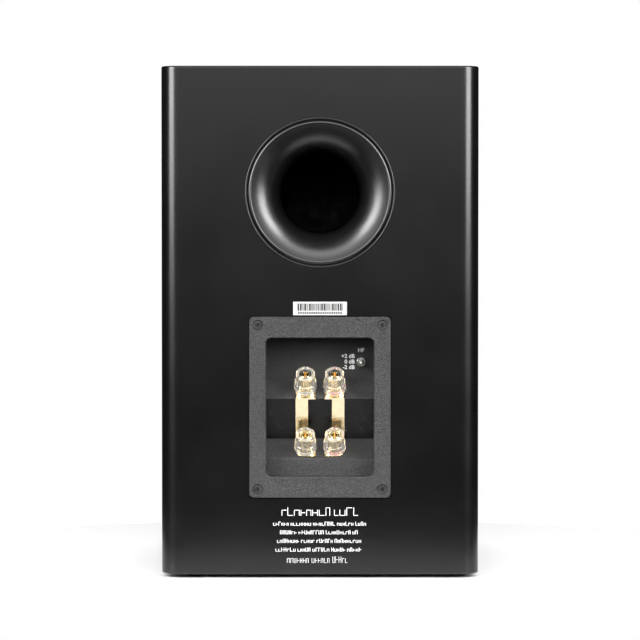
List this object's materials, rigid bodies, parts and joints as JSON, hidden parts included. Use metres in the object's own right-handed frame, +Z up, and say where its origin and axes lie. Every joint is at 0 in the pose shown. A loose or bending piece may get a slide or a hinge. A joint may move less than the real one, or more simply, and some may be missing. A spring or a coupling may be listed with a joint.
{
  "type": "bookshelf speaker",
  "caption": "Passive two-way bookshelf speaker: black box with rear reflex port, recessed bi-wire binding posts, tone trim switch, woofer and dome tweeter.",
  "frame": {"origin": "middle of the footprint, on the plane that the rubber feet stand on", "axes": "+Z up, drivers face -Y, terminals and port face +Y"},
  "size_m": [0.207, 0.266, 0.3335],
  "materials": {
    "black_board": "matte black wrap over fibreboard",
    "raw_board": "raw fibreboard",
    "lining_felt": "soft polyester wadding",
    "foot_rubber": "matte rubber",
    "port_plastic": "fine satin grain",
    "cup_plastic": "pebbled grain",
    "gasket_foam": "soft foam",
    "black_steel": "black oxide",
    "gold_brass": "polished gold plate",
    "zinc_steel": "zinc plate",
    "red_plastic": "gloss",
    "dark_plastic": "gloss",
    "clear_plastic": "clear polished",
    "nickel_steel": "nickel plate",
    "basket_metal": "satin black",
    "cone_pulp": "matt coated pulp",
    "surround_rubber": "soft satin rubber",
    "coil_copper": "lacquered copper",
    "former_foil": "plain foil",
    "spider_cloth": "resin-dipped cloth",
    "motor_steel": "passivated",
    "ferrite": "dark ceramic",
    "dome_silk": "coated silk",
    "circuit_laminate": "laminate",
    "part_film": "wrapped film",
    "ceramic_white": "ceramic case",
    "lead_sleeve": "soft insulation"
  },
  "bodies": {
    "cabinet": {"side_panel_left": "black_board", "side_panel_right": "black_board", "top_panel": "black_board", "bottom_panel": "black_board", "rear_panel": "black_board", "front_baffle": "black_board", "window_brace": "raw_board", "damping_lining": "lining_felt", "rubber_feet": "foot_rubber", "port_flange": "port_plastic", "port_tube": "port_plastic", "port_inner_flare": "port_plastic", "terminal_plate": "cup_plastic", "terminal_gasket": "gasket_foam", "terminal_screws": "black_steel", "post_studs": "gold_brass", "post_nuts": "zinc_steel", "trim_switch_body": "dark_plastic", "trim_switch_bushing": "nickel_steel", "woofer_basket": "basket_metal", "woofer_gasket": "surround_rubber", "woofer_surround": "surround_rubber", "woofer_spider": "spider_cloth", "woofer_top_plate": "motor_steel", "woofer_magnet": "ferrite", "woofer_yoke": "motor_steel", "woofer_screws": "black_steel", "tweeter_faceplate": "port_plastic", "tweeter_suspension": "dome_silk", "tweeter_top_plate": "motor_steel", "tweeter_magnet": "ferrite", "tweeter_yoke": "motor_steel", "tweeter_screws": "black_steel", "crossover_board": "circuit_laminate", "crossover_standoffs": "dark_plastic", "crossover_inductors": "coil_copper", "crossover_capacitors": "part_film", "crossover_resistors": "ceramic_white", "internal_leads": "lead_sleeve"},
    "woofer_moving": {"woofer_cone": "cone_pulp", "woofer_dust_cap": "cone_pulp", "woofer_coil_former": "former_foil", "woofer_coil": "coil_copper"},
    "tweeter_moving": {"tweeter_dome": "dome_silk", "tweeter_coil": "coil_copper"},
    "trim_lever": {"trim_switch_lever": "nickel_steel"},
    "link_positive": {"jumper_link_positive": "gold_brass"},
    "link_negative": {"jumper_link_negative": "gold_brass"},
    "ring_hf_positive": {"post_ring_hf_positive": "red_plastic"},
    "knob_hf_positive": {"post_core_hf_positive": "gold_brass", "post_sleeve_hf_positive": "clear_plastic"},
    "ring_hf_negative": {"post_ring_hf_negative": "dark_plastic"},
    "knob_hf_negative": {"post_core_hf_negative": "gold_brass", "post_sleeve_hf_negative": "clear_plastic"},
    "ring_lf_positive": {"post_ring_lf_positive": "red_plastic"},
    "knob_lf_positive": {"post_core_lf_positive": "gold_brass", "post_sleeve_lf_positive": "clear_plastic"},
    "ring_lf_negative": {"post_ring_lf_negative": "dark_plastic"},
    "knob_lf_negative": {"post_core_lf_negative": "gold_brass", "post_sleeve_lf_negative": "clear_plastic"}
  },
  "joints": [
    {"name": "woofer_excursion", "type": "slide", "parent": "cabinet", "child": "woofer_moving", "axis": [0, -1, 0], "range_m": [-0.005, 0.005], "stiffness_N_per_m": 1200, "deforming": ["woofer_surround", "woofer_spider"]},
    {"name": "tweeter_excursion", "type": "slide", "parent": "cabinet", "child": "tweeter_moving", "axis": [0, -1, 0], "range_m": [-0.0004, 0.0004], "stiffness_N_per_m": 1500, "deforming": ["tweeter_suspension"]},
    {"name": "trim_switch_throw", "type": "hinge", "parent": "cabinet", "child": "trim_lever", "pos_m": [-0.027, 0.1126, 0.1402], "axis": [1, 0, 0], "range_deg": [-12, 12]},
    {"name": "hf_positive_travel", "type": "slide", "parent": "cabinet", "child": "ring_hf_positive", "axis": [0, 0.7186, 0.6954], "range_m": [0, 0.005]},
    {"name": "hf_positive_unscrew", "type": "hinge", "parent": "ring_hf_positive", "child": "knob_hf_positive", "pos_m": [-0.0095, 0.11866, 0.1247], "axis": [0, 0.7186, 0.6954], "range_deg": [0, 1801]},
    {"name": "hf_negative_travel", "type": "slide", "parent": "cabinet", "child": "ring_hf_negative", "axis": [0, 0.7186, 0.6954], "range_m": [0, 0.005]},
    {"name": "hf_negative_unscrew", "type": "hinge", "parent": "ring_hf_negative", "child": "knob_hf_negative", "pos_m": [0.0095, 0.11866, 0.1247], "axis": [0, 0.7186, 0.6954], "range_deg": [0, 1801]},
    {"name": "lf_positive_travel", "type": "slide", "parent": "cabinet", "child": "ring_lf_positive", "axis": [0, 0.7186, 0.6954], "range_m": [0, 0.005]},
    {"name": "lf_positive_unscrew", "type": "hinge", "parent": "ring_lf_positive", "child": "knob_lf_positive", "pos_m": [-0.0095, 0.11866, 0.0851], "axis": [0, 0.7186, 0.6954], "range_deg": [0, 1801]},
    {"name": "lf_negative_travel", "type": "slide", "parent": "cabinet", "child": "ring_lf_negative", "axis": [0, 0.7186, 0.6954], "range_m": [0, 0.005]},
    {"name": "lf_negative_unscrew", "type": "hinge", "parent": "ring_lf_negative", "child": "knob_lf_negative", "pos_m": [0.0095, 0.11866, 0.0851], "axis": [0, 0.7186, 0.6954], "range_deg": [0, 1801]},
    {"name": "link_positive_pull", "type": "slide", "parent": "cabinet", "child": "link_positive", "axis": [-1, 0, 0], "range_m": [0, 0.012]},
    {"name": "link_negative_pull", "type": "slide", "parent": "cabinet", "child": "link_negative", "axis": [1, 0, 0], "range_m": [0, 0.012]}
  ],
  "couplings": [
    {"joint": "hf_positive_unscrew", "follows": "hf_positive_travel", "rad_per_m": 6283.2},
    {"joint": "hf_negative_unscrew", "follows": "hf_negative_travel", "rad_per_m": 6283.2},
    {"joint": "lf_positive_unscrew", "follows": "lf_positive_travel", "rad_per_m": 6283.2},
    {"joint": "lf_negative_unscrew", "follows": "lf_negative_travel", "rad_per_m": 6283.2}
  ]
}
